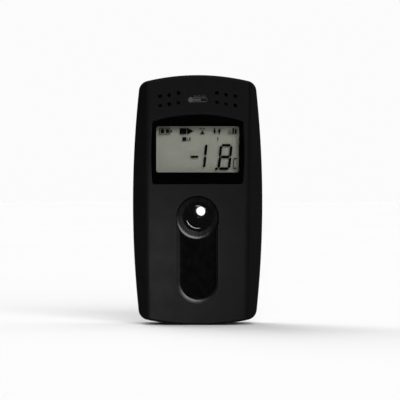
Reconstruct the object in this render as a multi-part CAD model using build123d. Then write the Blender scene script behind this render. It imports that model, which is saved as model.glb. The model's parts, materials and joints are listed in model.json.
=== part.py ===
from build123d import *
import os

# A pocket temperature data logger, in millimetres. It stands upright: X runs across the
# case, Y from the display side (-Y) to the battery door (+Y), and Z up. The origin is the
# middle of the footprint, on the lowest point of the case.

# Case
WIDTH = 44.0
HEIGHT = 84.5
DEPTH = 20.0
FRONT = -DEPTH / 2
BACK = DEPTH / 2
WALL = 2.0
INNER_FRONT = FRONT + WALL
INNER_BACK = BACK - WALL
TOP_RADIUS = 74.0
BOTTOM_RADIUS = 80.0
SIDE_RADIUS = 345.0
WIDEST_Z = 41.5
BASE_FLAT = 0.1
CORNER_RADIUS = 3.5
BACK_EDGE_RADIUS = 2.5
FRONT_EDGE_RADIUS = 0.8

# The front face ends in two creases, and a sloping shoulder runs from each to the side.
CREASE_X_TOP = 17.45
CREASE_X_BOTTOM = 16.5
CREASE_RADIUS = 3.0
SHOULDER_SLOPE = 0.9

# Circuit board and the joint between the two shells
BOARD_FRONT = -2.6
BOARD_BACK = -1.4
SOCKET_Y = BOARD_BACK + 1.95
PARTING = SOCKET_Y
SHADOW_GAP = 0.4
SHADOW_DEPTH = 0.35
LIP_HEIGHT = 1.0
LIP_WIDTH = 0.9
CLEARANCE = 0.1

# Screws
SCREW_RADIUS = 1.0
CASE_SCREW_X = 16.0
CASE_SCREW_Z = (8.5, 78.0)
CASE_BOSS_RADIUS = 2.3
CASE_BOSS_TOP = 3.0
CASE_SCREW_SEAT = 7.2
SCREW_HEAD_RADIUS = 1.85
SCREW_SEAT_RADIUS = 2.15
BOARD_SCREW_X = 15.0
BOARD_SCREW_Z = 34.0

# Blank label in a shallow recess in the back
LABEL_Z = 59.5
LABEL_SIZE = (25.0, 20.0)
LABEL_RECESS = 0.15

# Display
VIEW_WIDTH = 28.0
VIEW_HEIGHT = 15.6
VIEW_Z = 59.4
WINDOW_BOTTOM = 47.3
WINDOW_TOP = 71.3
WINDOW_TOP_RADIUS = 50.0
WINDOW_HALF_WIDTH = 16.05
WINDOW_WAIST_Z = 58.0
WINDOW_SIDE_RADIUS = 128.0
WINDOW_ROUNDING = 1.2
WINDOW_FRONT = FRONT + 0.15
MASK_FRONT = WINDOW_FRONT + 1.0
ADHESIVE_FRONT = MASK_FRONT + 0.1
LEDGE_FRONT = ADHESIVE_FRONT + 0.15
POLARIZER_FRONT = INNER_FRONT + 0.4
GLASS_FRONT = POLARIZER_FRONT + 0.2
GLASS_THICKNESS = 0.7
REAR_GLASS_FRONT = GLASS_FRONT + GLASS_THICKNESS
REFLECTOR_FRONT = REAR_GLASS_FRONT + GLASS_THICKNESS
REFLECTOR_BACK = REFLECTOR_FRONT + 0.2
LAYER_GAP = 0.04
FILM_MARGIN = 1.0
GLASS_HALF_WIDTH = 15.8
GLASS_BOTTOM = 46.9
GLASS_TOP = 70.5
REAR_GLASS_BOTTOM = 49.4
ZEBRA_HALF_WIDTH = 15.2
ZEBRA_Z = (47.1, 49.1)
FRAME_HALF_WIDTH = 16.9
FRAME_Z = (45.9, 71.3)
FRAME_OPENING_BOTTOM = 50.6

# Push button, in a dished collar at the head of a thumb groove
BUTTON_Z = 36.5
GROOVE_Z = 14.35
BEZEL_HALF_WIDTH = 7.2
BEZEL_FRONT = FRONT + 0.05
BEZEL_BACK = INNER_FRONT + 0.8
BEZEL_EDGE_RADIUS = 0.08
GROOVE_HALF_WIDTH = 7.0
GROOVE_DEPTH = 0.45
GROOVE_WALL_WIDTH = 0.78
GROOVE_RADIUS = 2.6
COLLAR_RADIUS = 7.42
COLLAR_WALL_RADIUS = 7.52
COLLAR_SLOPE = 0.06
COLLAR_BEND = (6.57, BEZEL_FRONT + 0.24)
COLLAR_RISE = (7.01, BEZEL_FRONT + 0.166)
BUTTON_HOLE_RADIUS = 5.1
CAP_RADIUS = 4.25
CAP_TOP = FRONT + 0.1
CUP_RADIUS = 3.95
CUP_RIM = CAP_TOP + 0.62
CAP_FLANGE_RADIUS = 5.9
CAP_FLANGE_FRONT = BEZEL_BACK + 0.1
CAP_FLANGE_BACK = CAP_FLANGE_FRONT + 0.6
PLUNGER_TIP = CAP_FLANGE_BACK + 0.3
SWITCH_FRONT = PLUNGER_TIP + 0.5

# Vents
VENT_RADIUS = 0.7
VENT_ROWS = (((12.7, 77.3), (9.6, 77.7), (6.5, 78.4)), ((12.7, 74.2), (9.6, 74.6), (6.5, 75.2)))
SENSOR_AT = (-9.6, -6.6, 76.2)
SENSOR_RADIUS = 1.1
BUZZER_AT = (9.3, 76.2)

# Coin cell and its door, which locks with three lugs under a ledge
CELL_Z = 28.0
CELL_RADIUS = 12.25
CELL_BACK = INNER_BACK - 0.3
CELL_FRONT = CELL_BACK - 5.0
CELL_CAP_RADIUS = 11.0
CELL_CAN_FRONT = CELL_FRONT + 0.6
HOLDER_RADIUS = 13.6
DOOR_RADIUS = 15.2
DOOR_GAP = 0.15
DOOR_RING_RADIUS = 13.5
DOOR_RING_FRONT = 6.0
LUG_RADIUS = 14.9
LUG_BACK = 7.0
LUG_ANGLE = 30
LUG_COUNT = 3
DOOR_TURN = 60
COIN_SLOT_REACH = 8.0
COIN_SLOT_DEPTH = 1.3
COIN_SLOT_WIDTH = 1.9
LEDGE_Y = (7.1, 7.9)
DOOR_DOT_RADIUS = 13.2
CASE_DOT_RADIUS = 17.4
SKIRT_RADIUS = 16.6
SKIRT_FRONT = 5.2

# USB socket in the right-hand wall and its captive rubber plug
SOCKET_Z = HEIGHT / 2
SOCKET_MOUTH_X = 19.95
SOCKET_LENGTH = 9.2
SOCKET_SIZE = (3.9, 7.7)
SOCKET_SHEET = 0.3
TONGUE_HALF = 0.45
PORT_SIZE = (4.6, 8.4)
POCKET_FLOOR_X = 21.0
POCKET_SIZE = (7.2, 15.2)
PLUG_THICKNESS = 1.0
PLUG_HINGE_Z = SOCKET_Z - 6.6
PLUG_TOP = SOCKET_Z + 6.0
POCKET_TOP = PLUG_TOP + 0.2


def slab(outline, front, back):
    """Extrudes an outline drawn in the front view (x, z) from depth front to depth back."""
    return extrude(Plane.XZ.offset(-back) * outline, back - front)


def side_slab(outline, inner, outer):
    """Extrudes an outline drawn in the side view (y, z) from x = inner to x = outer."""
    return extrude(Plane.YZ.offset(inner) * outline, outer - inner)


def block(x, y, z):
    """A box given by its (low, high) range on each axis."""
    ranges = (x, y, z)
    size = [high - low for low, high in ranges]
    middle = [(high + low) / 2 for low, high in ranges]
    return Pos(*middle) * Box(*size)


def peg(x, z, radius, front, back):
    """A round peg or hole along Y."""
    return slab(Pos(x, z) * Circle(radius), front, back)


def turned(profile, x, z):
    """Turns a half profile, drawn as (radius, y), about the line along Y through (x, z)."""
    return revolve(Pos(x, 0, z) * profile, Axis((x, 0, z), (0, 1, 0)), 360)


def grown(outline, amount):
    """An outline moved outwards by amount, or inwards when amount is negative."""
    return offset(outline, amount, kind=Kind.INTERSECTION)


def union(shapes):
    """All the shapes joined into one."""
    first, *others = shapes
    return first.fuse(*others) if others else first


# Case shape


def case_outline(inset=0.0):
    """Front view of the case: four long arcs with rounded corners, flattened at the foot."""
    outline = Pos(0, HEIGHT - TOP_RADIUS) * Circle(TOP_RADIUS - inset)
    outline &= Pos(0, BOTTOM_RADIUS - BASE_FLAT) * Circle(BOTTOM_RADIUS - inset)
    for side in (-1, 1):
        outline &= Pos(side * (WIDTH / 2 - SIDE_RADIUS), WIDEST_Z) * Circle(SIDE_RADIUS - inset)
    outline = fillet(outline.vertices(), CORNER_RADIUS - inset)
    return outline & Pos(0, HEIGHT / 2) * Rectangle(2 * WIDTH, HEIGHT - 2 * inset)


def shoulder_prism(inset=0.0):
    """A tall prism whose front corners are the sloping shoulders, narrower at the foot."""
    reach = WIDTH / 2 + 2 * WALL
    sections = []
    for crease_x, z in ((CREASE_X_BOTTOM, 0), (CREASE_X_TOP, HEIGHT)):
        shoulder_y = FRONT + (reach - crease_x) * SHOULDER_SLOPE
        half = [(0, FRONT), (crease_x, FRONT), (reach, shoulder_y), (reach, BACK), (0, BACK)]
        mirrored = [(-x, y) for x, y in reversed(half[1:-1])]
        section = make_face(Polyline(*half, *mirrored, close=True))
        creases = [v for v in section.vertices() if abs(abs(v.X) - crease_x) < 0.01]
        section = fillet(creases, CREASE_RADIUS)
        if inset:
            section = grown(section, -inset)
        sections.append(Pos(0, 0, z) * section)
    return loft(sections, ruled=True)


def case_solid():
    """The outside of the whole case, as if it were solid."""
    body = slab(case_outline(), FRONT, BACK) & shoulder_prism()
    body = fillet(body.faces().sort_by(Axis.Y)[-1].edges(), BACK_EDGE_RADIUS)
    return fillet([edge for edge in body.edges() if is_front_edge(edge)], FRONT_EDGE_RADIUS)


def is_front_edge(edge):
    """True on the rim of the face and shoulders, but not on the soft creases' border lines."""
    size = edge.bounding_box().size
    level = size.Y < 0.01 and size.Z > HEIGHT / 2
    return edge.center().Y < FRONT + 5.5 and size.Y < 4.9 and not level


def case_cavity():
    """The space inside both shells."""
    return slab(case_outline(WALL), INNER_FRONT, INNER_BACK) & shoulder_prism(WALL)


def port_cut():
    """The pocket for the rubber plug and the opening behind it, in the right-hand wall."""
    pocket = Pos(SOCKET_Y, POCKET_TOP - POCKET_SIZE[1] / 2) * RectangleRounded(*POCKET_SIZE, 1.6)
    port = Pos(SOCKET_Y, SOCKET_Z) * RectangleRounded(*PORT_SIZE, 0.8)
    return side_slab(pocket, POCKET_FLOOR_X, WIDTH) + side_slab(port, WIDTH / 2 - 4, WIDTH)


CASE = case_solid()
CAVITY = case_cavity()
PORT = port_cut()
SCREW_PLACES = [(x, z) for x in (-CASE_SCREW_X, CASE_SCREW_X) for z in CASE_SCREW_Z]


def window_outline(inset=0.0):
    """The display window: flat foot, slightly bulging sides and an arched top."""
    side_x = WINDOW_HALF_WIDTH - WINDOW_SIDE_RADIUS
    outline = Pos(0, WINDOW_TOP - WINDOW_TOP_RADIUS) * Circle(WINDOW_TOP_RADIUS - inset)
    outline &= Pos(side_x, WINDOW_WAIST_Z) * Circle(WINDOW_SIDE_RADIUS - inset)
    outline &= Pos(-side_x, WINDOW_WAIST_Z) * Circle(WINDOW_SIDE_RADIUS - inset)
    outline &= Pos(0, WINDOW_BOTTOM + inset + HEIGHT / 2) * Rectangle(WIDTH, HEIGHT)
    return fillet(outline.vertices(), WINDOW_ROUNDING - inset)


def view_outline(margin=0.0):
    """The part of the display that is seen, or a frame opening that much larger."""
    size = (VIEW_WIDTH + 2 * margin, VIEW_HEIGHT + 2 * margin)
    return Pos(0, VIEW_Z) * RectangleRounded(*size, 0.7 + margin / 2)


def groove_outline(half_width):
    """The stadium shape shared by the button's bezel and its thumb groove."""
    length = BUTTON_Z - GROOVE_Z
    slot = SlotCenterToCenter(length, 2 * half_width, rotation=90)
    return Pos(0, (BUTTON_Z + GROOVE_Z) / 2) * slot


def vent_holes():
    """Two rows of round holes on each side of the top of the face."""
    places = [(side * x, z) for row in VENT_ROWS for x, z in row for side in (-1, 1)]
    return union([peg(x, z, VENT_RADIUS, FRONT - 1, INNER_FRONT + 1) for x, z in places])


# Shells


def front_shell():
    """The deep front half with the face, the bosses and the locating lip."""
    shell = CASE & block((-WIDTH, WIDTH), (FRONT - 1, PARTING), (-1, HEIGHT + 1))
    shell -= CAVITY
    lip = case_outline(WALL - LIP_WIDTH) - case_outline(WALL)
    shell += slab(lip, PARTING - 1, PARTING + LIP_HEIGHT)
    inside = slab(case_outline(WALL + CLEARANCE), PARTING - 1, CASE_BOSS_TOP)
    for x, z in SCREW_PLACES:
        shell += peg(x, z, CASE_BOSS_RADIUS, INNER_FRONT - 0.5, PARTING) & CASE
        shell += peg(x, z, CASE_BOSS_RADIUS, PARTING - 0.5, CASE_BOSS_TOP) & inside
        shell -= peg(x, z, SCREW_RADIUS + 0.03, CASE_BOSS_TOP - 7, CASE_BOSS_TOP + 1)
    for x in (-BOARD_SCREW_X, BOARD_SCREW_X):
        shell += peg(x, BOARD_SCREW_Z, 2.2, INNER_FRONT - 0.5, BOARD_FRONT)
        shell -= peg(x, BOARD_SCREW_Z, SCREW_RADIUS + 0.03, BOARD_FRONT - 4, BOARD_FRONT)
    shell -= slab(window_outline(), FRONT - 1, LEDGE_FRONT)
    shell -= slab(view_outline(0.2), LEDGE_FRONT - 0.1, INNER_FRONT + 1)
    shell -= slab(groove_outline(BEZEL_HALF_WIDTH + 0.05), FRONT - 1, INNER_FRONT + 1)
    shell -= vent_holes()
    return shell - PORT


def back_shell():
    """The shallow back half with the battery well, the label recess and the screw seats."""
    shell = CASE & block((-WIDTH, WIDTH), (PARTING, BACK + 1), (-1, HEIGHT + 1))
    shell -= CAVITY
    rim = case_outline() - case_outline(SHADOW_DEPTH)
    shell -= slab(rim, PARTING, PARTING + SHADOW_GAP)
    groove = case_outline(WALL - LIP_WIDTH - CLEARANCE) - case_outline(WALL + 1)
    shell -= slab(groove, PARTING, PARTING + LIP_HEIGHT + CLEARANCE)
    shell += peg(0, CELL_Z, SKIRT_RADIUS, SKIRT_FRONT, INNER_BACK)
    shell -= peg(0, CELL_Z, LUG_RADIUS + DOOR_GAP, SKIRT_FRONT - 1, LEDGE_Y[0])
    shell -= peg(0, CELL_Z, DOOR_RING_RADIUS + DOOR_GAP, LEDGE_Y[0] - 1, LEDGE_Y[1])
    shell -= peg(0, CELL_Z, DOOR_RADIUS + DOOR_GAP, LEDGE_Y[1], BACK + 1)
    shell -= lug_ring(LUG_RADIUS + DOOR_GAP, LUG_ANGLE + 6, -DOOR_TURN, LEDGE_Y[0] - 1, LEDGE_Y[1] + 0.1)
    shell += lug_stops()
    for x, z in SCREW_PLACES:
        shell += peg(x, z, CASE_BOSS_RADIUS + 0.9, CASE_BOSS_TOP + 0.05, INNER_BACK + 0.5) & CASE
        shell -= peg(x, z, SCREW_RADIUS + CLEARANCE, CASE_BOSS_TOP - 1, BACK + 1)
        shell -= peg(x, z, SCREW_SEAT_RADIUS, CASE_SCREW_SEAT, BACK + 1)
    shell -= slab(label_outline(0.2), BACK - LABEL_RECESS, BACK + 1)
    for angle in (90, 90 - DOOR_TURN):
        shell -= index_dot(CASE_DOT_RADIUS, angle)
    return shell - PORT


def sector(radius, width, middle):
    """A pie slice of the given angular width, in the front view."""
    start = middle - width / 2
    points = [(0, 0)]
    spokes = [Vector(2 * radius, 0).rotate(Axis.Z, start + width * step / 4) for step in range(5)]
    points += [(spoke.X, spoke.Y) for spoke in spokes]
    return make_face(Polyline(*points, close=True)) & Circle(radius)


def lug_ring(radius, width, turn, front, back):
    """Three equal sectors about the door's axis, turned from the locked place by turn."""
    slices = []
    for index in range(LUG_COUNT):
        middle = 90 + turn + 360 / LUG_COUNT * index
        slices.append(slab(Pos(0, CELL_Z) * sector(radius, width, middle), front, back))
    return union(slices)


def lug_stops():
    """Blocks in the lugs' track that stop the door at locked and at open."""
    ring = lug_ring(LUG_RADIUS + DOOR_GAP + 0.2, 28, LUG_ANGLE, SKIRT_FRONT + 0.8, LEDGE_Y[0] + 0.1)
    return ring - peg(0, CELL_Z, DOOR_RING_RADIUS + DOOR_GAP, SKIRT_FRONT, INNER_BACK)


def index_dot(radius, angle):
    """A small round mark at this radius and angle about the door's axis."""
    spot = Vector(radius, 0).rotate(Axis.Z, angle)
    return peg(spot.X, CELL_Z + spot.Y, 0.55, BACK - 0.3, BACK + 1)


def label_outline(margin=0.0):
    """The blank rating label, or its recess that much larger."""
    width, height = LABEL_SIZE
    return Pos(0, LABEL_Z) * RectangleRounded(width + 2 * margin, height + 2 * margin, 1.5)


def blank_label():
    return slab(label_outline(), BACK - LABEL_RECESS, BACK - 0.03)


# Display


def display_window():
    """Clear acrylic pane, with its front edge broken."""
    pane = slab(window_outline(CLEARANCE), WINDOW_FRONT, MASK_FRONT - LAYER_GAP)
    return chamfer(pane.faces().sort_by(Axis.Y)[0].edges(), 0.1)


def window_mask():
    """Black printed border behind the pane."""
    return slab(window_outline(0.3) - view_outline(), MASK_FRONT, ADHESIVE_FRONT)


def window_adhesive():
    """Double-sided tape that holds the pane to its ledge."""
    return slab(window_outline(0.15) - view_outline(0.25), ADHESIVE_FRONT, LEDGE_FRONT)


def lcd_sheet(half_width, bottom, top, front, back):
    """A rectangular layer of the display."""
    return block((-half_width, half_width), (front, back), (bottom, top))


def lcd_film(front, back):
    """A film that reaches past the seen part of the display by the same margin all round."""
    half_width = VIEW_WIDTH / 2 + FILM_MARGIN
    half_height = VIEW_HEIGHT / 2 + FILM_MARGIN
    return lcd_sheet(half_width, VIEW_Z - half_height, VIEW_Z + half_height, front, back)


def lcd_foam_gasket():
    """Foam frame between the glass and the front shell."""
    outer = lcd_film(INNER_FRONT, POLARIZER_FRONT)
    return outer - slab(view_outline(0.5), INNER_FRONT - 1, POLARIZER_FRONT + 1)


def lcd_front_polarizer():
    return lcd_film(POLARIZER_FRONT, GLASS_FRONT - LAYER_GAP)


def lcd_front_glass():
    depth = (GLASS_FRONT, REAR_GLASS_FRONT - LAYER_GAP)
    return lcd_sheet(GLASS_HALF_WIDTH, GLASS_BOTTOM, GLASS_TOP, *depth)


def lcd_rear_glass():
    """Shorter than the front glass, so that the front glass's contacts are bare."""
    depth = (REAR_GLASS_FRONT, REFLECTOR_FRONT - LAYER_GAP)
    return lcd_sheet(GLASS_HALF_WIDTH, REAR_GLASS_BOTTOM, GLASS_TOP, *depth)


def lcd_reflector():
    return lcd_film(REFLECTOR_FRONT, REFLECTOR_BACK)


def zebra_connector():
    """Rubber strip that joins the glass's contacts to the board."""
    return lcd_sheet(ZEBRA_HALF_WIDTH, *ZEBRA_Z, REAR_GLASS_FRONT, BOARD_FRONT)


def lcd_holder():
    """Frame on the board that carries the glass and the zebra strip."""
    seat_z = (GLASS_BOTTOM - CLEARANCE, GLASS_TOP + CLEARANCE)
    opening_z = (FRAME_OPENING_BOTTOM, GLASS_TOP - 1)
    slot_z = (ZEBRA_Z[0] - CLEARANCE, ZEBRA_Z[1] + CLEARANCE)
    holder = lcd_sheet(FRAME_HALF_WIDTH, *FRAME_Z, GLASS_FRONT + 0.2, BOARD_FRONT)
    holder -= lcd_sheet(GLASS_HALF_WIDTH + CLEARANCE, *seat_z, FRONT, REFLECTOR_BACK)
    holder -= lcd_sheet(GLASS_HALF_WIDTH - 1, *opening_z, REFLECTOR_BACK + 0.8, BOARD_FRONT + 1)
    return holder - lcd_sheet(ZEBRA_HALF_WIDTH + CLEARANCE, *slot_z, FRONT, BOARD_FRONT + 1)


# Push button


def button_bezel():
    """Glossy insert: the collar round the button and the thumb groove under it."""
    bezel = slab(groove_outline(BEZEL_HALF_WIDTH), BEZEL_FRONT, BEZEL_BACK)
    bezel = fillet(bezel.faces().sort_by(Axis.Y)[0].edges(), BEZEL_EDGE_RADIUS)
    bezel += slab(groove_outline(BEZEL_HALF_WIDTH + 1.4), INNER_FRONT, BEZEL_BACK)
    bezel -= thumb_groove()
    apex = (0, COLLAR_BEND[1] + COLLAR_BEND[0] * COLLAR_SLOPE)
    rim = (COLLAR_RADIUS, BEZEL_FRONT)
    dish = Polyline(apex, COLLAR_BEND)
    rise = ThreePointArc(COLLAR_BEND, COLLAR_RISE, rim)
    above = Polyline(rim, (COLLAR_RADIUS, FRONT - 1), (0, FRONT - 1), apex)
    bezel -= turned(make_face([dish, rise, above]), 0, BUTTON_Z)
    return bezel - peg(0, BUTTON_Z, BUTTON_HOLE_RADIUS, FRONT - 1, BEZEL_BACK + 1)


def thumb_groove():
    """The material taken away for the groove: a shallow trough that stops at the collar's wall."""
    floor_plane = Plane.XZ.offset(-BEZEL_FRONT - GROOVE_DEPTH)
    floor = floor_plane * groove_outline(GROOVE_HALF_WIDTH - GROOVE_WALL_WIDTH)
    mouth = Plane.XZ.offset(-BEZEL_FRONT) * groove_outline(GROOVE_HALF_WIDTH)
    trough = loft([floor, mouth], ruled=True)
    trough = fillet(trough.faces().sort_by(Axis.Y)[-1].edges(), GROOVE_RADIUS)
    trough += slab(groove_outline(GROOVE_HALF_WIDTH), FRONT - 1, BEZEL_FRONT)
    return trough - peg(0, BUTTON_Z, COLLAR_WALL_RADIUS, FRONT - 2, BEZEL_BACK)


def button_cap():
    """Domed cap in a low cup, with a flange behind the bezel and a short stem."""
    dome_edge = (3.68, CAP_TOP + 0.88)
    cup_foot = (CUP_RADIUS, CAP_TOP + 0.71)
    dome = ThreePointArc((0, CAP_TOP), (1.9, CAP_TOP + 0.22), dome_edge)
    corner = ThreePointArc(dome_edge, (CUP_RADIUS - 0.07, CAP_TOP + 0.863), cup_foot)
    sides = Polyline(
        cup_foot,
        (CUP_RADIUS, CUP_RIM),
        (CAP_RADIUS, CUP_RIM),
        (CAP_RADIUS, CAP_FLANGE_FRONT),
        (CAP_FLANGE_RADIUS, CAP_FLANGE_FRONT),
        (CAP_FLANGE_RADIUS, CAP_FLANGE_BACK),
        (1.6, CAP_FLANGE_BACK),
        (1.6, PLUNGER_TIP),
        (0, PLUNGER_TIP),
        (0, CAP_TOP),
    )
    return turned(make_face([dome, corner, sides]), 0, BUTTON_Z)


def tact_switch_body():
    body = block((-3, 3), (SWITCH_FRONT, BOARD_FRONT), (BUTTON_Z - 3, BUTTON_Z + 3))
    body = chamfer(body.edges().filter_by(Axis.Y), 0.3)
    return body - peg(0, BUTTON_Z, 1.8, SWITCH_FRONT - 1, SWITCH_FRONT + 1.9)


def tact_switch_plunger():
    return peg(0, BUTTON_Z, 1.7, PLUNGER_TIP, SWITCH_FRONT + 1.3)


def tact_switch_pins():
    """Four flat legs beside the switch, soldered to the board."""
    legs = []
    for side in (-1, 1):
        for z in (BUTTON_Z - 2.2, BUTTON_Z + 2.2):
            foot = sorted((side * 3.0, side * 4.4))
            legs.append(block(foot, (BOARD_FRONT - 0.25, BOARD_FRONT), (z - 0.35, z + 0.35)))
    return legs


# Circuit board


def circuit_board():
    board = case_outline(WALL + 0.5)
    for x, z in SCREW_PLACES:
        board -= Pos(x, z) * Circle(CASE_BOSS_RADIUS + 0.3)
        board -= Pos(1.16 * x, z) * Rectangle(4, 2 * CASE_BOSS_RADIUS + 0.6)
    for x in (-BOARD_SCREW_X, BOARD_SCREW_X):
        board -= Pos(x, BOARD_SCREW_Z) * Circle(SCREW_RADIUS + CLEARANCE)
    return slab(board, BOARD_FRONT, BOARD_BACK)


def chip(x, z, width, height, thickness):
    """A moulded chip body on the back of the board."""
    spans = ((x - width / 2, x + width / 2), (BOARD_BACK + 0.1, BOARD_BACK + 0.1 + thickness))
    body = block(*spans, (z - height / 2, z + height / 2))
    return body - peg(x - width / 2 + 1, z + height / 2 - 1, 0.4, spans[1][1] - 0.1, BACK)


def gull_lead(x, z, angle):
    """One bent lead that runs out from (x, z) at this angle and down to the board."""
    top = BOARD_BACK + 0.8
    foot = BOARD_BACK + 0.1
    line = Polyline((0, top), (0.5, top), (0.7, foot), (1.3, foot))
    lead = extrude(trace(line, 0.16), 0.15, both=True)
    return Pos(x, 0, z) * Rot(0, -angle, 0) * lead


def chip_leads(x, z, width, height, per_side, pitch, sides):
    """Rows of leads along the chosen sides of a chip, given as angles in degrees."""
    leads = []
    for angle in sides:
        reach = (width if angle in (0, 180) else height) / 2
        for index in range(per_side):
            along = (index - (per_side - 1) / 2) * pitch
            place = Vector(reach, along).rotate(Axis.Z, angle)
            leads.append(gull_lead(x + place.X, z + place.Y, angle))
    return leads


MCU = dict(x=-6.0, z=59.0, width=10.0, height=10.0)
MEMORY = dict(x=9.5, z=62.0, width=4.0, height=5.0)


def small_chips(places, thickness):
    """Surface-mounted resistors or capacitors, 1.6 by 0.8 mm, on the back of the board."""
    y = (BOARD_BACK, BOARD_BACK + thickness)
    return [block((x - 0.8, x + 0.8), y, (z - 0.4, z + 0.4)) for x, z in places]


def clock_crystal():
    """Tuning-fork crystal in a tin can, lying on the board, with two wires."""
    can = Pos(5, BOARD_BACK + 1.05, 70) * Rot(0, 90, 0) * Cylinder(1.0, 6.0)
    can = fillet(can.edges(), 0.2)
    wires = []
    for z in (69.6, 70.4):
        wires.append(block((8, 9.6), (BOARD_BACK + 0.95, BOARD_BACK + 1.15), (z - 0.1, z + 0.1)))
        wires.append(block((9.4, 9.6), (BOARD_BACK, BOARD_BACK + 1.15), (z - 0.1, z + 0.1)))
    return union([can, *wires])


def sensor_bead():
    """Thermistor bead held in the air behind the left-hand vents."""
    return Pos(*SENSOR_AT) * Sphere(SENSOR_RADIUS)


def sensor_leads():
    x, y, z = SENSOR_AT
    return [peg(x + side * 0.5, z, 0.2, y, BOARD_FRONT) - sensor_bead() for side in (-1, 1)]


def buzzer():
    x, z = BUZZER_AT
    body = peg(x, z, 4.0, -6.6, BOARD_FRONT)
    body = fillet(body.edges().sort_by(Axis.Y)[0], 0.4)
    return body - peg(x, z, 0.8, -8, -6.0)


# Battery


def coin_cell():
    """Can towards the door, smaller cap towards the board."""
    can = fillet(peg(0, CELL_Z, CELL_RADIUS, CELL_CAN_FRONT, CELL_BACK).edges(), 0.5)
    return can + peg(0, CELL_Z, CELL_CAP_RADIUS, CELL_FRONT, CELL_CAN_FRONT + 0.6)


def battery_holder():
    """Ring on the board that centres the cell, open on the left for the side contact."""
    ring = peg(0, CELL_Z, HOLDER_RADIUS, BOARD_BACK, DOOR_RING_FRONT - 0.2)
    ring -= peg(0, CELL_Z, CELL_RADIUS + 0.15, CELL_CAN_FRONT, BACK)
    ring -= peg(0, CELL_Z, CELL_CAP_RADIUS + 0.4, BOARD_BACK - 1, BACK)
    return ring - block((-15, -11.2), (BOARD_BACK - 1, BACK), (CELL_Z - 2.2, CELL_Z + 2.2))


def bent_strip(points, thickness, width):
    """A strip of spring metal that follows points (x, y), centred on the cell's height."""
    strip = extrude(trace(Polyline(*points), thickness), width / 2, both=True)
    return Pos(0, 0, CELL_Z) * strip


def battery_contact_plus():
    """Side leaf that touches the can."""
    x = -CELL_RADIUS - 0.2
    y = BOARD_BACK + 0.1
    return bent_strip([(x - 2.2, y), (x, y), (x, CELL_BACK - 2.2)], 0.2, 3.0)


def battery_contact_minus():
    """Leaf that rises from the board to the cell's cap."""
    y = BOARD_BACK + 0.15
    return bent_strip([(-8, y), (-2, y), (5.5, CELL_FRONT - 0.2), (7.5, CELL_FRONT - 0.8)], 0.3, 5.0)


def battery_door():
    """Round door with a coin slot, a ring over the cell and three locking lugs."""
    door = peg(0, CELL_Z, DOOR_RADIUS, INNER_BACK, BACK)
    door = fillet(door.edges().sort_by(Axis.Y)[-1], 0.4)
    door += peg(0, CELL_Z, DOOR_RING_RADIUS, DOOR_RING_FRONT, INNER_BACK)
    door += lug_ring(LUG_RADIUS, LUG_ANGLE, 0, DOOR_RING_FRONT, LUG_BACK)
    door -= peg(0, CELL_Z, CELL_RADIUS + 0.2, DOOR_RING_FRONT - 1, INNER_BACK)
    coin_radius = (COIN_SLOT_REACH**2 + COIN_SLOT_DEPTH**2) / (2 * COIN_SLOT_DEPTH)
    coin = Pos(0, BACK - COIN_SLOT_DEPTH + coin_radius, CELL_Z) * Cylinder(coin_radius, COIN_SLOT_WIDTH)
    return door - coin - index_dot(DOOR_DOT_RADIUS, 90)


# USB socket and plug


def usb_socket_shell():
    """Folded sheet box on the back of the board, open towards the wall."""
    inside = [length - 2 * SOCKET_SHEET for length in SOCKET_SIZE]
    profile = Pos(SOCKET_Y, SOCKET_Z) * RectangleRounded(*SOCKET_SIZE, 0.6)
    bore = Pos(SOCKET_Y, SOCKET_Z) * RectangleRounded(*inside, 0.3)
    back = SOCKET_MOUTH_X - SOCKET_LENGTH
    return side_slab(profile, back, SOCKET_MOUTH_X) - side_slab(bore, back + SOCKET_SHEET, WIDTH)


def usb_socket_tongue():
    """Plastic tongue that carries the contacts."""
    back = SOCKET_MOUTH_X - SOCKET_LENGTH + SOCKET_SHEET
    middle = Pos(SOCKET_Y, SOCKET_Z)
    base = side_slab(middle * Rectangle(3.0, 6.8), back, back + 2)
    return base + side_slab(middle * Rectangle(2 * TONGUE_HALF, 5.2), back, SOCKET_MOUTH_X - 1.2)


def usb_socket_pins():
    """Five flat contacts on the tongue."""
    x = (SOCKET_MOUTH_X - SOCKET_LENGTH + 2.4, SOCKET_MOUTH_X - 1.5)
    y = (SOCKET_Y + TONGUE_HALF, SOCKET_Y + TONGUE_HALF + 0.15)
    middles = [SOCKET_Z + (index - 2) * 0.8 for index in range(5)]
    return [block(x, y, (z - 0.2, z + 0.2)) for z in middles]


def usb_port_plug():
    """Rubber plug flush with the wall, hinged at its lower end."""
    middle = (PLUG_TOP + PLUG_HINGE_Z) / 2
    face = Pos(SOCKET_Y, middle) * Rectangle(POCKET_SIZE[0] - 0.4, PLUG_TOP - PLUG_HINGE_Z)
    flange = side_slab(face, POCKET_FLOOR_X + 0.05, WIDTH)
    flange = fillet(flange.edges().filter_by(Axis.X).group_by(Axis.Z)[-1], 1.4)
    hinge_x = POCKET_FLOOR_X + 0.05 + PLUG_THICKNESS / 2 - 0.05
    barrel = Pos(hinge_x, SOCKET_Y, PLUG_HINGE_Z) * Rot(90, 0, 0) * Cylinder(0.45, POCKET_SIZE[0] - 0.4)
    neck = Pos(SOCKET_Y, SOCKET_Z - 0.2) * RectangleRounded(PORT_SIZE[0] - 0.5, PORT_SIZE[1] - 0.8, 0.7)
    plug = (flange & CASE) + barrel
    return plug + side_slab(neck, SOCKET_MOUTH_X + 0.1, POCKET_FLOOR_X + 0.3)


def usb_plug_root():
    """Fixed end of the plug's strap, pressed into the lower end of the pocket."""
    top = PLUG_HINGE_Z - 0.7
    bottom = POCKET_TOP - POCKET_SIZE[1] + 0.05
    face = Pos(SOCKET_Y, (top + bottom) / 2) * Rectangle(POCKET_SIZE[0] - 3.2, top - bottom)
    return side_slab(face, POCKET_FLOOR_X, WIDTH) & CASE


# Fasteners


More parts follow.
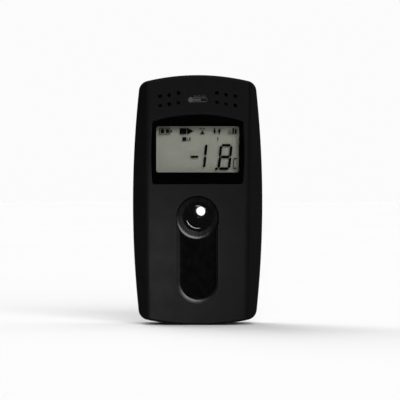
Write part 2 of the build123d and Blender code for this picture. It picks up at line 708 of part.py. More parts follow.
def screw(x, z, seat, head_height, length):
    """Self-tapping screw driven from the back, with a cross recess in its head."""
    head = peg(x, z, SCREW_HEAD_RADIUS, seat, seat + head_height)
    head = fillet(head.edges().sort_by(Axis.Y)[-1], 0.35)
    recess = block((x - 1.1, x + 1.1), (seat + 0.4, BACK), (z - 0.25, z + 0.25))
    recess += block((x - 0.25, x + 0.25), (seat + 0.4, BACK), (z - 1.1, z + 1.1))
    return head + peg(x, z, SCREW_RADIUS, seat - length, seat) - recess


def case_screws():
    return [screw(x, z, CASE_SCREW_SEAT, 1.4, 9.5) for x, z in SCREW_PLACES]


def board_screws():
    return [screw(x, BOARD_SCREW_Z, BOARD_BACK, 1.0, 4.5) for x in (-BOARD_SCREW_X, BOARD_SCREW_X)]


PARTS = {
    "front_shell": front_shell(),
    "back_shell": back_shell(),
    "case_screws": case_screws(),
    "blank_label": blank_label(),
    "display_window": display_window(),
    "window_mask": window_mask(),
    "window_adhesive": window_adhesive(),
    "lcd_foam_gasket": lcd_foam_gasket(),
    "lcd_front_polarizer": lcd_front_polarizer(),
    "lcd_front_glass": lcd_front_glass(),
    "lcd_rear_glass": lcd_rear_glass(),
    "lcd_reflector": lcd_reflector(),
    "lcd_holder": lcd_holder(),
    "zebra_connector": zebra_connector(),
    "button_bezel": button_bezel(),
    "button_cap": button_cap(),
    "tact_switch_body": tact_switch_body(),
    "tact_switch_plunger": tact_switch_plunger(),
    "tact_switch_pins": tact_switch_pins(),
    "circuit_board": circuit_board(),
    "board_screws": board_screws(),
    "microcontroller": chip(**MCU, thickness=1.4),
    "microcontroller_leads": chip_leads(**MCU, per_side=12, pitch=0.7, sides=(0, 90, 180, 270)),
    "memory_chip": chip(**MEMORY, thickness=1.4),
    "memory_chip_leads": chip_leads(**MEMORY, per_side=4, pitch=1.0, sides=(0, 180)),
    "clock_crystal": clock_crystal(),
    "chip_resistors": small_chips([(x, 52.0) for x in (-14, -11, -8, -5)], 0.5),
    "chip_capacitors": small_chips([(x, 49.6) for x in (-14, -11, -8)], 0.8),
    "sensor_bead": sensor_bead(),
    "sensor_leads": sensor_leads(),
    "buzzer": buzzer(),
    "coin_cell": coin_cell(),
    "battery_holder": battery_holder(),
    "battery_contact_plus": battery_contact_plus(),
    "battery_contact_minus": battery_contact_minus(),
    "battery_door": battery_door(),
    "usb_socket_shell": usb_socket_shell(),
    "usb_socket_tongue": usb_socket_tongue(),
    "usb_socket_pins": usb_socket_pins(),
    "usb_port_plug": usb_port_plug(),
    "usb_plug_root": usb_plug_root(),
}

os.makedirs("parts", exist_ok=True)
for name, shape in PARTS.items():
    solids = shape if isinstance(shape, list) else [shape]
    export_step(Compound(children=solids) if len(solids) > 1 else solids[0], f"parts/{name}.step")
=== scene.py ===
import json
from math import cos, pi, radians, sin

import bmesh
import bpy
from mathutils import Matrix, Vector


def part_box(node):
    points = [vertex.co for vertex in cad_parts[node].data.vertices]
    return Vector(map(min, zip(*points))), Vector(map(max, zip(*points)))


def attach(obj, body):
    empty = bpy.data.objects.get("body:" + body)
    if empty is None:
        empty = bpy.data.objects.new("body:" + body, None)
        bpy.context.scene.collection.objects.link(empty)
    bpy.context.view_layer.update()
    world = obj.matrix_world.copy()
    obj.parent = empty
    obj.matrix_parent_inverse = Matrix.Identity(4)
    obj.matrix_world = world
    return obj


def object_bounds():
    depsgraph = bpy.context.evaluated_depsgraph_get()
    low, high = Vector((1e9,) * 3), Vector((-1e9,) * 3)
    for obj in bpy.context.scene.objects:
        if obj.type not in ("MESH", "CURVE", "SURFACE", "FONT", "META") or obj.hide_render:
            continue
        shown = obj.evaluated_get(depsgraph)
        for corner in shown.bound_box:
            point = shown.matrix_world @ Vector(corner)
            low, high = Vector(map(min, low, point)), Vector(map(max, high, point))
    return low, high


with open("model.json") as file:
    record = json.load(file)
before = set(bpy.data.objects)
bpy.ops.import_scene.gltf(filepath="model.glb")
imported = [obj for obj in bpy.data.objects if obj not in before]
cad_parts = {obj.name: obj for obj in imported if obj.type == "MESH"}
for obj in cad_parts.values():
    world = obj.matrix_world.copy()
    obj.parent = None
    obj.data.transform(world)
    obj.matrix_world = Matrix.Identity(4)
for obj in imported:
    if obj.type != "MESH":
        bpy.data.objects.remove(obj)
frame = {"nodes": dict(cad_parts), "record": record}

# A pocket temperature data logger on a pale studio floor. Lengths are in metres, and the
# frame's axes hold: X to the right, Y from the display to the battery door, Z up.
MM = 0.001
CAD_LOW, CAD_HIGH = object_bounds()
FACE_Y = CAD_LOW.y
MIDDLE_Z = (CAD_LOW.z + CAD_HIGH.z) / 2

# The display's films reach past what is seen of it by this margin, and its ink lies
# between the two glasses.
FILM_MARGIN = 1.0 * MM
REFLECTOR_LOW, REFLECTOR_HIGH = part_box("lcd_reflector")
VIEW_LEFT = REFLECTOR_LOW.x + FILM_MARGIN
VIEW_RIGHT = REFLECTOR_HIGH.x - FILM_MARGIN
VIEW_BOTTOM = REFLECTOR_LOW.z + FILM_MARGIN
VIEW_TOP = REFLECTOR_HIGH.z - FILM_MARGIN
INK_Y = (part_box("lcd_front_glass")[1].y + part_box("lcd_rear_glass")[0].y) / 2
INK_THICKNESS = 0.01 * MM

# The button's collar and the thumb groove under it. A dullness is roughness added to the
# polished plastic: on the collar, and on the groove's wall down to just above its floor.
COLLAR_RADIUS = 7.5 * MM
COLLAR_FADE = 0.1 * MM
COLLAR_DULLNESS = 0.08
GROOVE_DEPTH = 0.5 * MM
WALL_DULL_ABOVE_FLOOR = 0.2 * MM
WALL_CLEAR_ABOVE_FLOOR = 0.02 * MM
WALL_DULLNESS = 0.32

# Printed and raised marks, in the millimetres of the drawings.
PRINT_LINE = 0.22
FACE_PRINT_PLACE = (-0.2, 76.1)
FACE_PRINT_SCALE = 0.92
LABEL_BORDER_INSET = 1.2
LABEL_BORDER_LINE = 0.25
LABEL_PRINT_SCALE = 2.2
ARROW_RADIUS = 9.6
ARROW_LINE = 0.55
ARROW_HEAD_FRONT = 1.2
ARROW_HEAD_BACK = 0.5
ARROW_HEAD_HALF_WIDTH = 0.95

# How far each mark stands proud of what it is on.
FACE_PRINT_THICKNESS = 0.012 * MM
LABEL_PRINT_THICKNESS = 0.01 * MM
ARROW_THICKNESS = 0.12 * MM

# The camera's lens and sensor are in millimetres. Its field is the width that the picture
# shows at the case's edge, which is this far behind the face.
LENS = 200.0
SENSOR = 36.0
FIELD_WIDTH = 135.9 * MM
CASE_EDGE_BACK = 4.6 * MM
CAMERA_X = 0.8 * MM

# Suns: azimuth 0 comes from the display's side and 90 from the right; width is the angle
# that the light's disc fills.
SUNS = {
    "key_light": dict(azimuth=17, elevation=28, strength=2.6, width=41),
    "top_light": dict(azimuth=180, elevation=75, strength=1.0, width=60),
    "back_light": dict(azimuth=215, elevation=35, strength=2.0, width=50),
    "right_light": dict(azimuth=108, elevation=15, strength=0.8, width=55),
}

# A small light low on the left brightens the lower part of the case.
CASE_LIGHT = dict(place=(-0.025, -0.085, 0.01), aim=(0, 0, 0), size=0.06, power=0.118)

# The floor reaches this far each way. The backdrop is as bright as the lit floor, which
# returns a share, its albedo, of the suns' light and the walls' glow.
FLOOR_REACH = 60.0
FLOOR_ALBEDO = 0.795
FLOOR_LIGHT = sum(s["strength"] * sin(radians(s["elevation"])) for s in SUNS.values())
SKY_GLOW = 0.09
BACKDROP_BRIGHTNESS = FLOOR_ALBEDO * (FLOOR_LIGHT / pi + SKY_GLOW)

# How brightly the studio's walls glow towards the pieces, in front of the display and behind
# it. The glow rises between these Y parts of the direction looked in.
WALL_GLOW_FRONT = 0.015
WALL_GLOW_BEHIND = 0.25
GLOW_START_Y = -0.3
GLOW_END_Y = 0.8

# ---------------------------------------------------------------- materials


class Shading:
    """A material's node tree, with short calls for the nodes used here."""

    def __init__(self, name):
        self.material = bpy.data.materials.new(name)
        self.material.use_nodes = True
        self.nodes = self.material.node_tree.nodes
        self.links = self.material.node_tree.links
        self.shader = self.nodes["Principled BSDF"]
        self.place = self.nodes.new("ShaderNodeTexCoord").outputs["Object"]

    def set(self, **values):
        """Sets the shader's own sockets; Base_Color stands for Base Color, and so on."""
        for name, value in values.items():
            self.shader.inputs[name.replace("_", " ")].default_value = value

    def feed(self, socket, value):
        """Links an output to the socket, or sets the socket's own value."""
        if isinstance(value, bpy.types.NodeSocket):
            self.links.new(value, socket)
        else:
            socket.default_value = value

    def node(self, kind, inputs=(), **settings):
        """Adds a node, sets its properties, and feeds its inputs."""
        made = self.nodes.new("ShaderNode" + kind)
        for name, value in settings.items():
            setattr(made, name, value)
        for name, value in dict(inputs).items():
            self.feed(made.inputs[name], value)
        return made

    def stretched(self, scale):
        """Object coordinates scaled by a different amount on each axis."""
        return self.node("Mapping", {"Vector": self.place, "Scale": scale}).outputs["Vector"]

    def noise(self, size, detail=3.0, place=None, roughness=0.5):
        """Noise whose features are about this size, in metres."""
        shape = {"Scale": 1 / size, "Detail": detail, "Roughness": roughness}
        return self.node("TexNoise", {"Vector": place or self.place, **shape}).outputs["Fac"]

    def ramp(self, value, low, high, from_low=0.3, from_high=0.7):
        """Maps a value to the range low to high."""
        span = {"From Min": from_low, "From Max": from_high, "To Min": low, "To Max": high}
        return self.node("MapRange", {"Value": value, **span}).outputs["Result"]

    def blend(self, fac, first, second):
        """Mixes two colours."""
        return self.node("Mix", {0: fac, 6: first, 7: second}, data_type="RGBA").outputs[2]

    def maths(self, operation, first, second=0.0):
        """One arithmetic step."""
        return self.node("Math", {0: first, 1: second}, operation=operation).outputs[0]

    def bump(self, height, depth, strength=1.0, below=None):
        """A bump of this depth in metres, over an earlier bump when one is given."""
        inputs = {"Height": height, "Distance": depth, "Strength": strength}
        if below:
            inputs["Normal"] = below
        return self.node("Bump", inputs).outputs["Normal"]

    def edges(self, radius):
        """Rises from 0 on flat ground to 1 on edges sharper than this radius."""
        soft = self.node("Bevel", {"Radius": radius}, samples=4).outputs["Normal"]
        sharp = self.node("NewGeometry").outputs["Normal"]
        alike = self.node("VectorMath", {0: soft, 1: sharp}, operation="DOT_PRODUCT").outputs["Value"]
        return self.ramp(alike, 1.0, 0.0, 0.90, 0.995)

    def link(self, **outputs):
        """Links node outputs to the shader's sockets, named as in set."""
        for name, output in outputs.items():
            self.links.new(output, self.shader.inputs[name.replace("_", " ")])


def grey(value):
    """A neutral colour."""
    return (value, value, value, 1.0)


def textured_case():
    """Black plastic with a fine spark-eroded grain, polished a little on its edges."""
    s = Shading("textured_case")
    s.set(Specular_IOR_Level=0.045, IOR=1.5)
    cloud = s.noise(9 * MM, 4)
    speck = s.noise(0.16 * MM, 2)
    grain = s.noise(0.22 * MM, 3, roughness=0.6)
    pits = s.node("TexVoronoi", {"Vector": s.place, "Scale": 1 / (0.3 * MM)}).outputs["Distance"]
    edges = s.edges(0.45 * MM)
    base = s.blend(s.ramp(cloud, 0, 1), (0.0016, 0.0016, 0.0017, 1), (0.0022, 0.0022, 0.0023, 1))
    base = s.blend(s.ramp(speck, 0, 0.5, 0.5, 0.75), base, grey(0.005))
    base = s.blend(s.maths("MULTIPLY", edges, 0.5), base, grey(0.007))
    rough = s.ramp(s.noise(5 * MM, 5), 0.42, 0.52)
    rough = s.maths("SUBTRACT", rough, s.maths("MULTIPLY", edges, 0.1))
    fine = s.bump(grain, 0.03 * MM, 0.5)
    s.link(Base_Color=base, Roughness=rough, Normal=s.bump(pits, 0.02 * MM, 0.35, fine))
    return s.material


def gloss_case(name, polish, level, ior=1.55):
    """Smooth black plastic with hairline scratches and faint smears; polish is its roughness."""
    s = Shading(name)
    s.set(Specular_IOR_Level=level, IOR=ior)
    hairs = s.noise(0.5 * MM, 4, s.stretched((1, 1, 0.04)))
    smear = s.noise(2.5 * MM, 3)
    dust = s.noise(0.12 * MM, 1)
    base = s.blend(s.ramp(dust, 0, 1, 0.7, 0.8), grey(0.0010), grey(0.006))
    rough = s.maths("ADD", s.ramp(smear, polish, polish + 0.06), s.ramp(hairs, 0.0, 0.05, 0.55, 0.7))
    s.link(Base_Color=base, Roughness=rough, Normal=s.bump(hairs, 0.002 * MM, 0.25))
    return s


def bezel_plastic():
    """The button's insert: polished groove floor, duller groove wall, satin collar."""
    s = gloss_case("gloss_case", 0.12, 0.36)
    low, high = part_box("button_cap")
    centre = (low + high) / 2
    axes = s.node("SeparateXYZ", {"Vector": s.place})
    across = s.maths("SUBTRACT", axes.outputs["X"], centre.x)
    up = s.maths("SUBTRACT", axes.outputs["Z"], centre.z)
    reach = s.maths("SQRT", s.maths("ADD", s.maths("POWER", across, 2.0), s.maths("POWER", up, 2.0)))
    collar = s.ramp(reach, 1, 0, COLLAR_RADIUS, COLLAR_RADIUS + COLLAR_FADE)
    floor_y = FACE_Y + GROOVE_DEPTH
    dull_y = floor_y - WALL_DULL_ABOVE_FLOOR
    clear_y = floor_y - WALL_CLEAR_ABOVE_FLOOR
    wall = s.maths("SUBTRACT", s.ramp(axes.outputs["Y"], 1, 0, dull_y, clear_y), collar)
    collar_dull = s.maths("MULTIPLY", collar, COLLAR_DULLNESS)
    wall_dull = s.maths("MULTIPLY", wall, WALL_DULLNESS)
    dull = s.maths("MAXIMUM", collar_dull, wall_dull)
    polished = s.shader.inputs["Roughness"].links[0].from_socket
    s.link(Roughness=s.maths("ADD", polished, dull))
    return s.material


def clear_sheet(name, tint, ior, gloss_rough, smear):
    """Clear acrylic, film or glass: it shows what is behind, and its outer faces mirror at a slant."""
    s = Shading(name)
    smears = s.noise(4 * MM, 4)
    see = s.node("BsdfTransparent", {"Color": tint})
    rough = s.ramp(smears, gloss_rough, gloss_rough + smear)
    normal = s.bump(s.noise(6 * MM, 2), 0.004 * MM, 0.3)
    shine = s.node("BsdfAnisotropic", {"Color": grey(1.0), "Roughness": rough, "Normal": normal})
    slant = s.node("Fresnel", {"IOR": ior, "Normal": normal}).outputs[0]
    outside = s.maths("SUBTRACT", 1.0, s.node("NewGeometry").outputs["Backfacing"])
    mirror = s.maths("MULTIPLY", slant, outside)
    mix = s.node("MixShader", {0: mirror, 1: see.outputs[0], 2: shine.outputs[0]})
    out = s.nodes["Material Output"]
    s.links.new(mix.outputs[0], out.inputs["Surface"])
    s.nodes.remove(s.shader)
    return s.material


def black_ink():
    """Printed border seen through the pane, with a trace of unevenness."""
    s = Shading("black_ink")
    s.set(Specular_IOR_Level=0.0)
    base = s.blend(s.ramp(s.noise(1.5 * MM, 3), 0, 1), grey(0.0002), grey(0.0005))
    s.link(Base_Color=base, Roughness=s.ramp(s.noise(0.8 * MM), 0.4, 0.6))
    return s.material


def lcd_reflector():
    """Grey-green reflective film with a fine sparkle, and painted light: a paler band along its rim.
    """
    s = Shading("lcd_reflector")
    s.set(Specular_IOR_Level=0.2)
    axes = s.node("SeparateXYZ", {"Vector": s.place})
    across = s.maths("ABSOLUTE", s.ramp(axes.outputs["X"], -1, 1, VIEW_LEFT, VIEW_RIGHT))
    up = s.maths("ABSOLUTE", s.ramp(axes.outputs["Z"], -1, 1, VIEW_BOTTOM, VIEW_TOP))
    # Painted light: a mask that rises towards the view's edges, where the film is painted paler.
    painted_rim_light = s.maths("MAXIMUM", s.ramp(across, 0, 1, 0.93, 1.0), s.ramp(up, 0, 1, 0.88, 1.0))
    cloud = s.ramp(s.noise(7 * MM, 3), 0, 1)
    base = s.blend(cloud, (0.345, 0.35, 0.315, 1), (0.365, 0.37, 0.335, 1))
    # The painted light blends the film towards a paler grey along its rim.
    base = s.blend(s.maths("MULTIPLY", painted_rim_light, 0.35), base, (0.50, 0.50, 0.465, 1))
    base = s.blend(s.ramp(s.noise(0.1 * MM, 1), 0, 0.25), base, (0.28, 0.285, 0.255, 1))
    s.link(Base_Color=base, Roughness=s.ramp(s.noise(0.2 * MM), 0.55, 0.75))
    return s.material


def moulded(name, low, high, rough, size=0.3 * MM, depth=0.01 * MM, spec=0.4):
    """Plain moulded plastic, rubber, foam or epoxy with two close colours and a light grain."""
    s = Shading(name)
    s.set(Specular_IOR_Level=spec)
    base = s.blend(s.ramp(s.noise(3 * MM, 4), 0, 1), low, high)
    s.link(Base_Color=base, Roughness=s.ramp(s.noise(1.2 * MM, 3), rough - 0.06, rough + 0.06))
    s.link(Normal=s.bump(s.noise(size, 3), depth, 0.5))
    return s.material


def metal(name, low, high, rough, stretch=(1, 1, 1)):
    """Plated or brushed metal with fine lines along one axis."""
    s = Shading(name)
    s.set(Metallic=1.0)
    lines = s.noise(0.25 * MM, 4, s.stretched(stretch))
    base = s.blend(s.ramp(s.noise(1.5 * MM, 4), 0, 1), low, high)
    s.link(Base_Color=base, Roughness=s.ramp(lines, rough - 0.08, rough + 0.1))
    s.link(Normal=s.bump(lines, 0.004 * MM, 0.4))
    return s.material


def circuit_board():
    """Solder mask over copper tracks."""
    s = Shading("green_board")
    s.set(Specular_IOR_Level=0.5)
    tracks = s.node("TexBrick", {"Vector": s.place, "Scale": 1 / (2.4 * MM), "Mortar Size": 0.06})
    base = s.blend(s.ramp(s.noise(2 * MM), 0, 1), (0.006, 0.05, 0.02, 1), (0.01, 0.07, 0.03, 1))
    base = s.blend(s.maths("MULTIPLY", tracks.outputs["Fac"], 0.5), base, (0.03, 0.13, 0.055, 1))
    s.link(Base_Color=base, Roughness=s.ramp(s.noise(0.4 * MM), 0.25, 0.4))
    s.link(Normal=s.bump(tracks.outputs["Fac"], 0.03 * MM, 0.4))
    return s.material


def print_ink(name, colour, rough=0.5, level=0.3):
    """Pad-printed ink, slightly broken where it lies over the grain."""
    s = Shading(name)
    s.set(Specular_IOR_Level=level)
    darker = (colour[0] * 0.6, colour[1] * 0.6, colour[2] * 0.6, 1)
    base = s.blend(s.ramp(s.noise(0.18 * MM, 2), 0, 1), darker, colour)
    s.link(Base_Color=base, Roughness=s.ramp(s.noise(0.3 * MM), rough - 0.08, rough + 0.08))
    return s.material


def floor_paint():
    """Matt pale studio floor."""
    s = Shading("studio_floor")
    s.set(Specular_IOR_Level=0.0)
    s.link(Base_Color=s.blend(s.ramp(s.noise(0.4), 0, 1), grey(0.79), grey(0.80)))
    s.link(Roughness=s.ramp(s.noise(0.02), 0.9, 1.0))
    return s.material


def slot_materials():
    """One material for each of the record's slots."""
    steel = ((0.30, 0.31, 0.33, 1), (0.42, 0.43, 0.44, 1))
    tin = ((0.55, 0.56, 0.57, 1), (0.70, 0.70, 0.70, 1))
    nickel = ((0.50, 0.48, 0.43, 1), (0.62, 0.60, 0.54, 1))
    gold = ((0.75, 0.52, 0.18, 1), (0.85, 0.62, 0.26, 1))
    bright = ((0.5, 0.5, 0.5, 1), (0.62, 0.62, 0.62, 1))
    ceramic = ((0.34, 0.25, 0.15, 1), (0.42, 0.32, 0.2, 1))
    pale = ((0.42, 0.43, 0.44, 1), (0.47, 0.48, 0.49, 1))
    return {
        "textured_case": textured_case(),
        "gloss_case": bezel_plastic(),
        "clear_acrylic": clear_sheet("clear_acrylic", grey(0.975), 1.49, 0.02, 0.03),
        "black_ink": black_ink(),
        "black_tape": moulded("black_tape", grey(0.004), grey(0.007), 0.6),
        "black_foam": moulded(
            "black_foam", grey(0.006), grey(0.012), 0.9, size=0.15 * MM, depth=0.05 * MM, spec=0.1
        ),
        "polarizer_film": clear_sheet("polarizer_film", (0.93, 0.93, 0.915, 1), 1.15, 0.2, 0.05),
        "lcd_glass": clear_sheet("lcd_glass", grey(0.985), 1.08, 0.05, 0.03),
        "lcd_reflector": lcd_reflector(),
        "white_plastic": moulded("white_plastic", grey(0.60), grey(0.66), 0.45),
        "zebra_rubber": moulded("zebra_rubber", grey(0.30), grey(0.42), 0.7),
        "screw_steel": metal("screw_steel", *steel, 0.32),
        "label_film": moulded("label_film", *pale, 0.35),
        "switch_plastic": moulded("switch_plastic", grey(0.015), grey(0.022), 0.5),
        "switch_plunger": moulded("switch_plunger", grey(0.03), grey(0.04), 0.45),
        "tinned_metal": metal("tinned_metal", *tin, 0.3),
        "green_board": circuit_board(),
        "chip_epoxy": moulded("chip_epoxy", grey(0.012), grey(0.018), 0.55, size=0.12 * MM),
        "capacitor_ceramic": moulded("capacitor_ceramic", *ceramic, 0.5),
        "sensor_epoxy": moulded("sensor_epoxy", grey(0.01), grey(0.018), 0.2),
        "cell_steel": metal("cell_steel", *bright, 0.25, stretch=(1, 1, 0.1)),
        "spring_nickel": metal("spring_nickel", *nickel, 0.28),
        "contact_gold": metal("contact_gold", *gold, 0.25),
        "port_rubber": moulded(
            "port_rubber", grey(0.009), grey(0.013), 0.62, size=0.2 * MM, depth=0.012 * MM, spec=0.25
        ),
    }


def dress_nodes():
    """Gives every CAD node its slot's material."""
    materials = slot_materials()
    for entry in frame["record"]["subparts"]:
        mesh = frame["nodes"][entry["node"]].data
        mesh.materials.clear()
        mesh.materials.append(materials[entry["material_slot"]])
    cap = frame["nodes"]["button_cap"].data
    cap.materials[0] = gloss_case("polished_cap", 0.05, 1.0, ior=1.9).material


# ---------------------------------------------------------------- flat drawings

# A drawing is a list of outlines, each a list of (x, z) points in millimetres.


def rect(x0, z0, x1, z1):
    """An upright rectangle between two opposite corners."""
    return [(x0, z0), (x1, z0), (x1, z1), (x0, z1)]


def disc(x, z, radius, steps=24):
    """A filled circle with this many sides."""
    angles = [2 * pi * k / steps for k in range(steps)]
    return [(x + radius * cos(a), z + radius * sin(a)) for a in angles]


def stroke(points, width, closed=False):
    """A line of this width through the points, as one four-sided outline for each run."""
    ends = points[1:] + points[:1] if closed else points[1:]
    outlines = []
    for start, end in zip(points, ends):
        along = Vector((end[0] - start[0], end[1] - start[1])).normalized() * (width / 2)
        side = Vector((-along.y, along.x))
        a = Vector(start) - along * 0.5
        b = Vector(end) + along * 0.5
        outlines.append([tuple(a + side), tuple(a - side), tuple(b - side), tuple(b + side)])
    return outlines


def placed(outlines, x, z, scale=1.0):
    """A drawing moved to (x, z) and scaled about its own origin."""
    return [[(x + px * scale, z + pz * scale) for px, pz in outline] for outline in outlines]


def drawing_mesh(name, outlines, y, thickness, facing=-1):
    """Turns outlines into a thin raised mesh; facing -1 looks to the front, 1 to the back."""
    bm = bmesh.new()
    for outline in outlines:
        front = [bm.verts.new((px * MM, y + facing * thickness, pz * MM)) for px, pz in outline]
        back = [bm.verts.new((px * MM, y, pz * MM)) for px, pz in outline]
        bm.faces.new(front)
        bm.faces.new(list(reversed(back)))
        for k in range(len(front)):
            after = (k + 1) % len(front)
            bm.faces.new((front[after], front[k], back[k], back[after]))
    bmesh.ops.recalc_face_normals(bm, faces=bm.faces)
    mesh = bpy.data.meshes.new(name)
    bm.to_mesh(mesh)
    bm.free()
    piece = bpy.data.objects.new(name, mesh)
    bpy.context.scene.collection.objects.link(piece)
    return piece


def finish_piece(piece, material, body):
    """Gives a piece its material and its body."""
    piece.data.materials.append(material)
    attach(piece, body)


# ---------------------------------------------------------------- display

# Digits and icons are placed in millimetres from the view's lower left corner. The digits
# lean by this much for each unit of height.
SLANT = 0.1
DIGIT_STROKE = 0.85
SEGMENT_GAP = 0.12
MINUS_STROKE = 0.75


def segment(start, end, width):
    """A display segment with pointed ends."""
    a = Vector(start)
    b = Vector(end)
    along = (b - a).normalized() * (width / 2)
    side = Vector((-along.y, along.x))
    points = [a, a + along + side, b - along + side, b, b - along - side, a + along - side]
    return [tuple(point) for point in points]


def digit(x, z, width, height, lit):
    """A slanted seven-segment digit; lit names its segments by the usual letters."""
    gap = SEGMENT_GAP
    left = low = DIGIT_STROKE / 2
    right = width - left
    middle = height / 2
    high = height - low
    ends = {
        "a": ((left + gap, high), (right - gap, high)),
        "b": ((right, high - gap), (right, middle + gap)),
        "c": ((right, middle - gap), (right, low + gap)),
        "d": ((left + gap, low), (right - gap, low)),
        "e": ((left, middle - gap), (left, low + gap)),
        "f": ((left, high - gap), (left, middle + gap)),
        "g": ((left + gap, middle), (right - gap, middle)),
    }
    outlines = [segment(*ends[letter], DIGIT_STROKE) for letter in lit]
    return [[(x + px + SLANT * pz, z + pz) for px, pz in outline] for outline in outlines]


def battery_icon():
    """A battery outline with a tip and two charge bars."""
    shape = stroke([(0, 0), (3.5, 0), (3.5, 2.0), (0, 2.0)], 0.2, closed=True)
    return shape + [rect(3.7, 0.6, 4.1, 1.4), rect(0.4, 0.35, 1.6, 1.65), rect(2.1, 0.35, 3.2, 1.65)]


def play_icon():
    """A block and a triangle that points right."""
    return [rect(0, 0.1, 2.3, 2.1), [(2.5, -0.1), (4.8, 1.1), (2.5, 2.3)]]


def hourglass_icon():
    """An hourglass with its sand in the lower half."""
    top = stroke([(0.1, 2.1), (1.9, 2.1), (1.0, 1.1)], 0.15, closed=True)
    return top + [[(1.0, 1.3), (1.65, 0.3), (0.35, 0.3)], rect(0.1, 0, 1.9, 0.25)]


def arrows_icon():
    """An arrow down beside an arrow up."""
    down = [rect(0.45, 0.9, 0.85, 2.2), [(0.1, 1.3), (0.65, 0), (1.2, 1.3)]]
    up = [rect(2.05, 0, 2.45, 1.3), [(1.7, 0.9), (2.8, 0.9), (2.25, 2.2)]]
    return down + up


def chart_icon():
    """Columns over a base line, the last ones wide."""
    columns = ((0.2, 0.15, 0.5), (0.7, 0.15, 1.0), (1.2, 0.15, 0.7), (1.7, 0.5, 1.5), (2.5, 0.6, 1.1))
    shapes = [rect(x, 0.2, x + width, 0.5 + height) for x, width, height in columns]
    return shapes + [rect(0, 0, 3.2, 0.15)]


def unit_letter():
    """A tall open letter, the unit of temperature, with its arms heavier than its stem."""
    stem = stroke([(0.5, 0.1), (0.15, 0.5), (0.15, 3.1), (0.5, 3.5)], 0.22)
    return stem + [rect(0.4, 3.2, 1.3, 3.6), rect(0.35, -0.1, 1.1, 0.35)]


def step_icon():
    """A tall block beside two thin bars."""
    return [rect(0, 0, 1.35, 1.3), rect(1.75, 0, 1.95, 1.2), rect(2.4, 0, 2.75, 1.2)]


def lcd_ink():
    """Everything the display shows."""
    minus = segment((11.5, 5.3), (14.4, 5.3), MINUS_STROKE)
    decimal_point = rect(19.9, 0.85, 20.75, 1.65)
    shapes = [minus, decimal_point]
    shapes += digit(x=12.6, z=1.1, width=3.95, height=9.0, lit="bc")
    shapes += digit(x=20.7, z=0.9, width=4.35, height=8.75, lit="abcdefg")
    drawings = (
        (26.0, 1.3, unit_letter()),
        (1.1, 13.0, battery_icon()),
        (7.9, 12.9, play_icon()),
        (14.6, 12.9, hourglass_icon()),
        (19.1, 12.9, arrows_icon()),
        (24.1, 13.0, chart_icon()),
        (8.8, 10.7, step_icon()),
        (20.7, 10.8, [rect(0, 0, 0.3, 1.2)]),
    )
    for x, z, drawing in drawings:
        shapes += placed(drawing, x, z)
    shapes = placed(shapes, VIEW_LEFT / MM, VIEW_BOTTOM / MM)
    piece = drawing_mesh("lcd_segments", shapes, INK_Y, INK_THICKNESS)
    material = print_ink("lcd_segment_black", (0.003, 0.003, 0.003, 1), level=0.0)
    finish_piece(piece, material, "case")


# ---------------------------------------------------------------- printed and raised marks


def thermometer():
    """A lying thermometer with a scale, centred on the origin, about 7 mm long."""
    radius = 0.72
    left = -1.5
    right = 3.0
    bulb = disc(-2.3, 0, 0.95)
    column = rect(-1.6, -0.28, 1.4, 0.28)
    upper = stroke([(left, radius), (right, radius)], PRINT_LINE)
    lower = stroke([(left, -radius), (right, -radius)], PRINT_LINE)
    angles = [k * pi / 8 for k in range(9)]
    cap = stroke([(right + radius * sin(a), radius * cos(a)) for a in angles], PRINT_LINE)
    ticks = []
    for k in range(6):
        tick_x = -0.9 + k * 0.75
        tick_top = 1.45 if k % 2 else 1.75
        ticks.append(rect(tick_x, 1.0, tick_x + 0.2, tick_top))
    return [bulb, column] + upper + lower + cap + ticks


def face_print():
    """Pictogram between the two groups of dots above the display."""
    shapes = placed(thermometer(), *FACE_PRINT_PLACE, FACE_PRINT_SCALE)
    piece = drawing_mesh("face_pictogram", shapes, FACE_Y, FACE_PRINT_THICKNESS)
    finish_piece(piece, print_ink("face_print_grey", (0.05, 0.05, 0.052, 1)), "case")


def label_print():
    """Border line and pictogram on the blank label, seen from behind."""
    low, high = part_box("blank_label")
    middle_z = (low.z + high.z) / 2 / MM
    half_width = (high.x - low.x) / 2 / MM - LABEL_BORDER_INSET
    half_height = (high.z - low.z) / 2 / MM - LABEL_BORDER_INSET
    border = rect(-half_width, middle_z - half_height, half_width, middle_z + half_height)
    shapes = stroke(border, LABEL_BORDER_LINE, closed=True)
    mirrored = [[(-px, pz) for px, pz in outline] for outline in thermometer()]
    shapes += placed(mirrored, 0, middle_z, LABEL_PRINT_SCALE)
    piece = drawing_mesh("label_pictogram", shapes, high.y, LABEL_PRINT_THICKNESS, facing=1)
    finish_piece(piece, print_ink("label_print_dark", (0.03, 0.03, 0.032, 1)), "case")


def door_arrow():
    """Raised arrow on the battery door that shows which way it opens."""
    low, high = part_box("battery_door")
    middle_z = (low.z + high.z) / 2 / MM
    angles = [radians(62 + 7 * k) for k in range(9)]
    shapes = stroke([(ARROW_RADIUS * cos(a), ARROW_RADIUS * sin(a)) for a in angles], ARROW_LINE)
    tip_angle = radians(58)
    outward = Vector((cos(tip_angle), sin(tip_angle)))
    ahead = Vector((outward.y, -outward.x))
    tip = outward * ARROW_RADIUS
    back = tip - ahead * ARROW_HEAD_BACK
    side = outward * ARROW_HEAD_HALF_WIDTH
    head = (tip + ahead * ARROW_HEAD_FRONT, back + side, back - side)
    shapes.append([tuple(point) for point in head])
    shapes = placed(shapes, 0, middle_z)
    piece = drawing_mesh("battery_door_arrow", shapes, high.y, ARROW_THICKNESS, facing=1)
    material = frame["nodes"]["button_bezel"].data.materials[0]
    finish_piece(piece, material, "battery_door")


# ---------------------------------------------------------------- studio


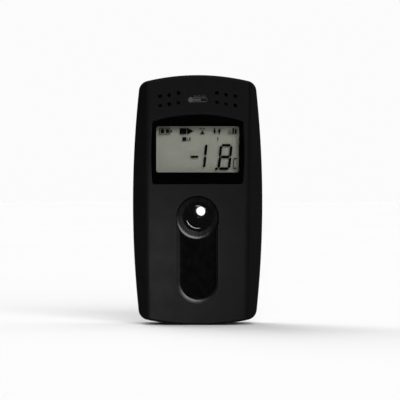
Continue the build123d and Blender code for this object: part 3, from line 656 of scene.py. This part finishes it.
def studio_floor():
    """A wide floor that glossy surfaces don't mirror, as black cards would hide it from them."""
    mesh = bpy.data.meshes.new("studio_floor")
    corners = rect(-FLOOR_REACH, -FLOOR_REACH, FLOOR_REACH, FLOOR_REACH)
    mesh.from_pydata([(x, y, CAD_LOW.z) for x, y in corners], [], [(0, 1, 2, 3)])
    floor = bpy.data.objects.new("studio_floor", mesh)
    bpy.context.scene.collection.objects.link(floor)
    mesh.materials.append(floor_paint())
    floor.visible_glossy = False


def sun(name, azimuth, elevation, strength, width):
    """A distant soft light, with its angles in degrees."""
    light = bpy.data.lights.new(name, "SUN")
    light.energy = strength
    light.angle = radians(width)
    lamp = bpy.data.objects.new(name, light)
    a = radians(azimuth)
    e = radians(elevation)
    towards = Vector((sin(a) * cos(e), -cos(a) * cos(e), sin(e)))
    lamp.rotation_mode = "QUATERNION"
    lamp.rotation_quaternion = towards.to_track_quat("Z", "Y")
    bpy.context.scene.collection.objects.link(lamp)


def softbox(name, place, aim, size, power):
    """A square area light aimed at a point, hidden from the camera."""
    light = bpy.data.lights.new(name, "AREA")
    light.size = size
    light.energy = power
    lamp = bpy.data.objects.new(name, light)
    lamp.location = place
    lamp.rotation_mode = "QUATERNION"
    lamp.rotation_quaternion = (Vector(place) - Vector(aim)).to_track_quat("Z", "Y")
    lamp.visible_camera = False
    bpy.context.scene.collection.objects.link(lamp)
    return lamp


def light_only(lamp, nodes):
    """Makes a lamp light these nodes and nothing else."""
    group = bpy.data.collections.new(lamp.name + "_receivers")
    for node in nodes:
        group.objects.link(frame["nodes"][node])
    lamp.light_linking.receiver_collection = group


def studio_world():
    """Pale behind everything the camera sees, and dim to the pieces' reflections."""
    world = bpy.data.worlds.new("studio_world")
    world.use_nodes = True
    nodes = world.node_tree.nodes
    links = world.node_tree.links
    seen = nodes["Background"]
    seen.inputs["Color"].default_value = grey(BACKDROP_BRIGHTNESS)
    dim = nodes.new("ShaderNodeBackground")
    place = nodes.new("ShaderNodeTexCoord")
    axes = nodes.new("ShaderNodeSeparateXYZ")
    links.new(place.outputs["Generated"], axes.inputs[0])
    glow = nodes.new("ShaderNodeMapRange")
    glow.interpolation_type = "SMOOTHSTEP"
    links.new(axes.outputs["Y"], glow.inputs["Value"])
    span = {
        "From Min": GLOW_START_Y,
        "From Max": GLOW_END_Y,
        "To Min": WALL_GLOW_FRONT,
        "To Max": WALL_GLOW_BEHIND,
    }
    for name, value in span.items():
        glow.inputs[name].default_value = value
    links.new(glow.outputs["Result"], dim.inputs["Color"])
    path = nodes.new("ShaderNodeLightPath")
    mix = nodes.new("ShaderNodeMixShader")
    links.new(path.outputs["Is Camera Ray"], mix.inputs[0])
    links.new(dim.outputs[0], mix.inputs[1])
    links.new(seen.outputs[0], mix.inputs[2])
    links.new(mix.outputs[0], nodes["World Output"].inputs["Surface"])
    bpy.context.scene.world = world


def camera():
    """Square-on to the display through a long lens."""
    distance = FIELD_WIDTH * LENS / SENSOR
    data = bpy.data.cameras.new("camera")
    data.lens = LENS
    data.sensor_width = SENSOR
    data.clip_end = 200.0
    view = bpy.data.objects.new("camera", data)
    view.location = (CAMERA_X, FACE_Y + CASE_EDGE_BACK - distance, MIDDLE_Z)
    view.rotation_euler = (radians(90), 0, 0)
    bpy.context.scene.collection.objects.link(view)
    bpy.context.scene.camera = view


# ---------------------------------------------------------------- build

dress_nodes()
lcd_ink()
face_print()
label_print()
door_arrow()
studio_floor()
for name, setting in SUNS.items():
    sun(name, **setting)
light_only(softbox("lower_left_light", **CASE_LIGHT), ["front_shell", "back_shell"])
studio_world()
camera()
bpy.context.scene.view_settings.view_transform = "Standard"
bpy.context.scene.cycles.transparent_max_bounces = 32
